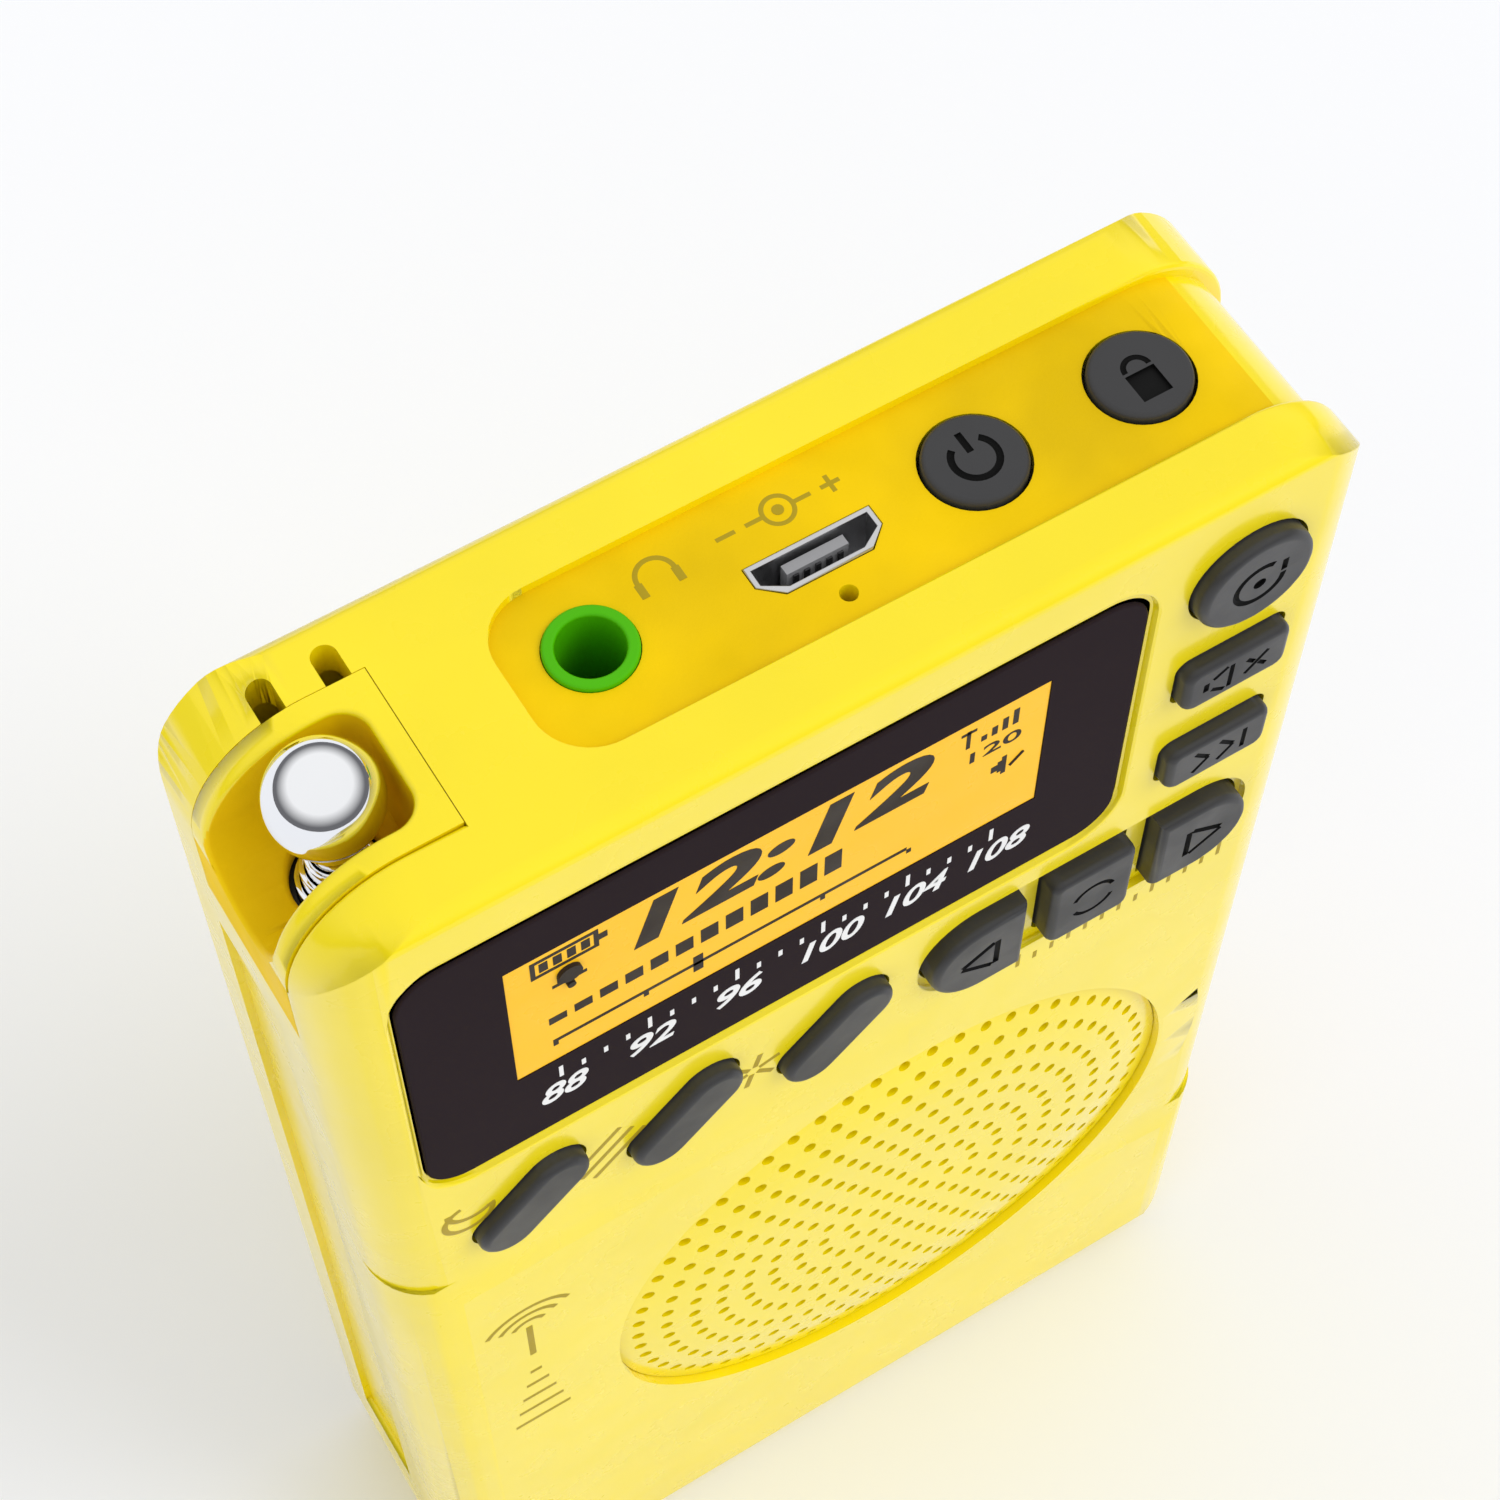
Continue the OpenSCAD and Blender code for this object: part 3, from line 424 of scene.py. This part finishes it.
# Display lens: a hard clear plate with a polished rim, printed dark from behind all round its
# window and glued into the pocket of the front shell.
lcd_low, lcd_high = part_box("lcd_module")
lens_dark = plastic("lens_dark", (0.024, 0.016, 0.019), 0.16, specular=0.004, grain=0.000001)
lens = copy_of("display_lens", "display_lens_plate")
round_edges(lens, 0.18, lambda p: p.y < lens_low.y / mm + 0.05)
window_x = (lcd_low.x + 0.75 * mm, lcd_high.x - 0.75 * mm)
window_z = (lcd_low.z + 1.5 * mm, lcd_high.z - 1.5 * mm)
bpy.ops.object.select_all(action="DESELECT")
window_w = window_x[1] - window_x[0]
window_h = window_z[1] - window_z[0]
bpy.ops.mesh.primitive_cube_add(size=1, location=(sum(window_x) / 2, lens_low.y, sum(window_z) / 2),
                                scale=(window_w, 6 * mm, window_h))
engrave(lens, lens_dark, lens_dark, [bpy.context.object])
finish_piece(lens, lens_dark, "case", "display_lens")

# Display: an amber liquid-crystal cell lit from behind, clipped just under the window. It shows
# a battery, a bell, the time, a row of levels, a tuning line and the strength of the signal.
amber = plastic("amber_display", (0.96, 0.53, 0.015), 0.3, specular=0.1, cloud=0.03, grain=0.000001)
amber_shader = amber.node_tree.nodes["Principled BSDF"]
amber_shader.inputs["Emission Color"].default_value = (1, 0.5, 0.02, 1)
amber_shader.inputs["Emission Strength"].default_value = 0.08
ink = plastic("display_ink", (0.035, 0.026, 0.02), 0.5, specular=0.1)
picture_y = lens_low.y + 0.06 * mm
cell_t = 1.4 * mm
bpy.ops.object.select_all(action="DESELECT")
bpy.ops.mesh.primitive_cube_add(size=1, scale=(window_w, cell_t, window_h),
                                location=(sum(window_x) / 2, picture_y + cell_t / 2, sum(window_z) / 2))
picture = bpy.context.object
picture.name = "lcd_picture"
bpy.ops.object.transform_apply(location=True, rotation=True, scale=True)
bpy.ops.object.mode_set(mode="EDIT")
bpy.ops.mesh.bevel(offset=0.05 * mm, segments=2, affect="EDGES")
bpy.ops.object.mode_set(mode="OBJECT")
finish_piece(picture, amber, "case", "lcd_module")


def block(u0, v0, u1, v1):
    bpy.ops.mesh.primitive_cube_add(size=1, location=((u0 + u1) / 2 * mm, (v0 + v1) / 2 * mm, 0),
                                    scale=((u1 - u0) * mm, (v1 - v0) * mm, 0.04 * mm))
    return bpy.context.object


def figures(words, u0, v0, width, height, slant=0.0, heavy=0.0):
    bpy.ops.object.text_add(location=(0, 0, 0))
    piece = bpy.context.object
    piece.data.body = words
    piece.data.extrude = 0.02
    piece.data.shear = slant
    piece.data.offset = heavy
    piece.data.resolution_u = 6
    bpy.ops.object.convert(target="MESH")
    piece = bpy.context.object
    low = [min(v.co[k] for v in piece.data.vertices) for k in (0, 1)]
    high = [max(v.co[k] for v in piece.data.vertices) for k in (0, 1)]
    grow = (width / (high[0] - low[0]) * mm, height / (high[1] - low[1]) * mm, mm)
    piece.scale = grow
    piece.location = (u0 * mm - low[0] * grow[0], v0 * mm - low[1] * grow[1], 0)
    return piece


def display_sign(parts, name, u, v):
    sign = joined(parts, name, (u, picture_y / mm, v))
    finish_piece(sign, ink, "case", None)


outline = [block(0, 0, 3.9, 0.28), block(0, 1.52, 3.9, 1.8), block(0, 0.28, 0.28, 1.52),
           block(3.62, 0.28, 3.9, 1.52), block(3.9, 0.6, 4.4, 1.2)]
charge = [block(0.5 + 0.8 * i, 0.45, 1 + 0.8 * i, 1.35) for i in range(4)]
display_sign(outline + charge, "battery_sign", -20, 92.2)
display_sign([dot(1.1, 1.25, 0.7), block(0.4, 0.5, 1.8, 1.25), block(0.1, 0.2, 2.1, 0.5),
              dot(1.1, 0.05, 0.25)], "bell_sign", -19, 90)
display_sign([figures("12:12", 0, 0, 17.9, 4.3, 0.2, 0.035)], "clock", -14.2, 89.6)
display_sign([block(1.5 * i, 0, 1.5 * i + 1.05, 0.7 + 0.12 * i) for i in range(12)],
             "levels", -19.3, 86.4)
marks = [block(5.4 * i, 0.3, 5.4 * i + 0.3, 0.7) for i in (0, 1, 3, 4)]
display_sign([block(0, 0.7, 21.6, 1), block(8.4, 0, 9, 1.7)] + marks, "track", -19.2, 83.5)
strength = [block(1.3 + 0.65 * i, 0, 1.65 + 0.65 * i, 0.5 + 0.32 * i) for i in range(4)]
display_sign(strength + [block(0.35, 0, 0.6, 1.75), block(0, 1.45, 0.95, 1.7)], "bars", 5.3, 91.9)
display_sign([figures("120", 0, 0, 3.2, 1.05, 0, 0.01)], "count", 6, 90.1)
display_sign([block(0, 0.6, 0.4, 1.2), block(0.4, 0.35, 0.65, 1.45), block(0.65, 0, 0.95, 1.8),
              stroke(1.2, 0.5, 2, 1.3, 0.2)], "quiet", 7.5, 87.1)

# Print under the window: a tuning dial with plain numbers, screen-printed in white on the
# face of the lens.
print_white = plastic("print_white", (0.86, 0.86, 0.86), 0.5)
number_pitch = 5.4
tick_pitch = number_pitch / 4
numbers = [figures(str(88 + 4 * i), number_pitch * i, 0, 2.9 if i < 3 else 4, 2, 0.25, 0.02)
           for i in range(6)]
ticks = [block(1.2 + tick_pitch * i, 2.5, 1.45 + tick_pitch * i, 3.7 if i % 4 == 0 else 3.1)
         for i in range(21)]
dial = joined(numbers + ticks, "tuning_dial", (-20.3, lens_low.y / mm - 0.005, 77.5))
finish_piece(dial, print_white, "case", None)

# Keys: caps moulded in dark grey rubber-like plastic, with soft rims. Their signs are sunk into
# the tops of the caps, and the faces of the sunk signs are painted near black as painted shade of
# the grooves. Each cap stands in its own hole and presses a switch on the board.
grey = plastic("grey_plastic", (0.037, 0.037, 0.039), 0.42, specular=0.35)
# Painted shade: the near-black faces of the sunk key signs stand for the shade in their grooves.
grey_groove_shade = plastic("grey_engraving_shade", (0.006, 0.006, 0.006), 0.7, specular=0.1)
horn = 0.34
bold = 0.42
arrow = 0.45
hair = 0.36
cut_offset = 0.03
key_signs = {
    "mute_button": [stroke(-2.1, -0.4, -2.1, 0.4, 0.4), stroke(-1.7, 0.5, -0.8, 1.1, horn),
                    stroke(-0.5, 1.1, -0.5, -1.1, horn), stroke(-0.8, -1.1, -1.7, -0.5, horn),
                    stroke(0.5, -0.7, 1.9, 0.7, horn), stroke(0.5, 0.7, 1.05, 0.15, horn),
                    stroke(1.35, -0.15, 1.9, -0.7, horn)],
    "mode_button": [arc(0, 0, 1.5, bold, 60, 360), dot(0, 0, 0.4), stroke(1.5, 0.2, 1.5, 1.2, bold)],
    "scan_button": [stroke(-1.7, 1, -0.7, 0, hair), stroke(0, 1, 1, 0, hair),
                    stroke(-0.7, 0, -1.7, -1, hair), stroke(1, 0, 0, -1, hair),
                    stroke(1.7, -1, 1.7, 1, hair)],
    "tune_down_button": [stroke(0.85, 1.35, -1.3, 0.1, arrow), stroke(-1.3, -0.1, 0.85, -1.35, arrow),
                         stroke(1.1, -1.4, 1.1, 1.4, arrow)],
    "select_button": [arc(0, 0.1, 1.4, hair, 25, 155), arc(0, -0.1, 1.4, hair, 205, 335)],
    "tune_up_button": [stroke(-0.85, 1.35, 1.3, 0.1, arrow), stroke(1.3, -0.1, -0.85, -1.35, arrow),
                       stroke(-1.1, -1.4, -1.1, 1.4, arrow)],
    "sleep_button": [],
    "menu_button": [],
    "preset_button": [],
    "power_button": [arc(0, 0, 1.25, bold, 125, 415), stroke(0, 0.4, 0, 1.7, bold)],
    "lock_button": [arc(0, 0.3, 0.72, horn, 0, 180), dot(0, -0.75, 1.25, 4)],
}
for node, parts in key_signs.items():
    low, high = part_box(node)
    on_top = node in ("power_button", "lock_button")
    key = copy_of(node, node + "_cap")
    face = high.z / mm if on_top else low.y / mm
    soft = 0.35 if on_top else 0.5
    round_edges(key, soft, lambda p: p.z > face - 0.05 if on_top else p.y < face + 0.05, 4)
    if parts:
        middle = (low + high) / 2 / mm
        if on_top:
            sign = placed(parts, (middle.x, 0, face + cut_offset), front=False)
        else:
            sign = placed(parts, (middle.x, face - cut_offset, middle.z))
        engrave(key, grey, grey_groove_shade, sign)
    finish_piece(key, grey, node.replace("_button", "_key"), node)

# Headphone jack: a socket moulded in green plastic, soldered to the board. Its collar stands in
# a hole of the top band and is rounded.
green = plastic("green_plastic", (0.075, 0.47, 0.001), 0.35, specular=0.15)
jack = copy_of("headphone_jack", "headphone_jack_collar")
round_edges(jack, 0.2, lambda p: p.z > band_floor)
finish_piece(jack, green, "case", "headphone_jack")



# Charging socket: a shell folded from plated steel, its lip turned, round a plastic tongue with
# five contacts. It is soldered to the board.
def metal(name, colour, roughness, scratch=0.00001):
    material = plastic(name, colour, roughness, grain=scratch, cloud=0.04)
    material.node_tree.nodes["Principled BSDF"].inputs["Metallic"].default_value = 1
    return material


tin = metal("plated_steel", (0.62, 0.62, 0.63), 0.32)
socket = copy_of("usb_shell", "usb_shell_lip")
round_edges(socket, 0.08, lambda p: p.z > band_floor, 2)
finish_piece(socket, tin, "case", "usb_shell")

# Mast: three drawn tubes and a rod, chromed and polished, which slide in one another. Each tube's
# end is rolled in, and a turned ball is crimped on the rod.
chrome = metal("chrome", (0.86, 0.87, 0.89), 0.045, 0.000001)
for number in (1, 2, 3):
    node = "antenna_tube_" + str(number)
    tube = copy_of(node, node + "_rolled")
    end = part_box(node)[1].z / mm
    round_edges(tube, 0.1, lambda p: p.z > end - 0.05, 2)
    finish_piece(tube, chrome, "mast_" + str(number), node)
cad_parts["antenna_rod"].data.materials.clear()
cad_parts["antenna_rod"].data.materials.append(chrome)
tip_low, tip_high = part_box("antenna_tip")
tip_r = (tip_high.x - tip_low.x) / 2
bpy.ops.object.select_all(action="DESELECT")
bpy.ops.mesh.primitive_uv_sphere_add(segments=72, ring_count=36, radius=tip_r * 0.999,
                                     location=((tip_low.x + tip_high.x) / 2, 0, tip_high.z - tip_r))
ball = bpy.context.object
ball.name = "antenna_tip_ball"
bpy.ops.object.transform_apply(location=True, rotation=True, scale=True)
bpy.ops.object.mode_set(mode="EDIT")
bpy.ops.mesh.select_mode(type="FACE")
bpy.ops.mesh.select_all(action="DESELECT")
bpy.ops.object.mode_set(mode="OBJECT")
for face in ball.data.polygons:
    face.select = face.center.z < tip_high.z - tip_r * 1.8
bpy.ops.object.mode_set(mode="EDIT")
bpy.ops.mesh.delete(type="FACE")
bpy.ops.mesh.select_mode(type="EDGE")
bpy.ops.mesh.select_all(action="SELECT")
bpy.ops.mesh.region_to_loop()
stem = tip_high.z - tip_low.z - 1.85 * tip_r
bpy.ops.mesh.extrude_region_move(TRANSFORM_OT_translate={"value": (0, 0, -stem)})
bpy.ops.mesh.fill_holes(sides=0)
bpy.ops.mesh.select_all(action="SELECT")
bpy.ops.mesh.normals_make_consistent(inside=False)
bpy.ops.object.mode_set(mode="OBJECT")
finish_piece(ball, chrome, "mast_4", "antenna_tip")

# Inside the case: plain moulded, pressed and printed pieces, which keep the shapes they have and
# only get the plastic, metal or cloth that they are made of.
black = plastic("black_plastic", (0.012, 0.012, 0.012), 0.5)
white = plastic("white_plastic", (0.75, 0.75, 0.72), 0.5)
tongue_grey = plastic("tongue_grey", (0.32, 0.32, 0.33), 0.45)
felt = plastic("black_cloth", (0.02, 0.018, 0.012), 0.95, specular=0.05, grain=0.00005)
board = plastic("green_board", (0.01, 0.1, 0.03), 0.4)
wrap = plastic("battery_wrap", (0.05, 0.16, 0.42), 0.35)
gilt = metal("gilt_contact", (0.83, 0.6, 0.24), 0.25)
iron = metal("dark_iron", (0.12, 0.12, 0.125), 0.5)
inner = {
    black: ("processor_chip", "antenna_guide", "speaker_cone"),
    white: ("lcd_holder", "charge_led"),
    tongue_grey: ("usb_tongue",),
    felt: ("dust_cloth",),
    board: ("main_board",),
    wrap: ("battery",),
    gilt: ("antenna_foot", "battery_contacts"),
    iron: ("speaker_magnet", "usb_contacts"),
    tin: ("speaker_frame", "front_key_switches", "top_key_switches", "rf_shield", "antenna_pivot",
          "shell_screws"),
}
for material, nodes in inner.items():
    for node in nodes:
        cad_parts[node].data.materials.clear()
        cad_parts[node].data.materials.append(material)
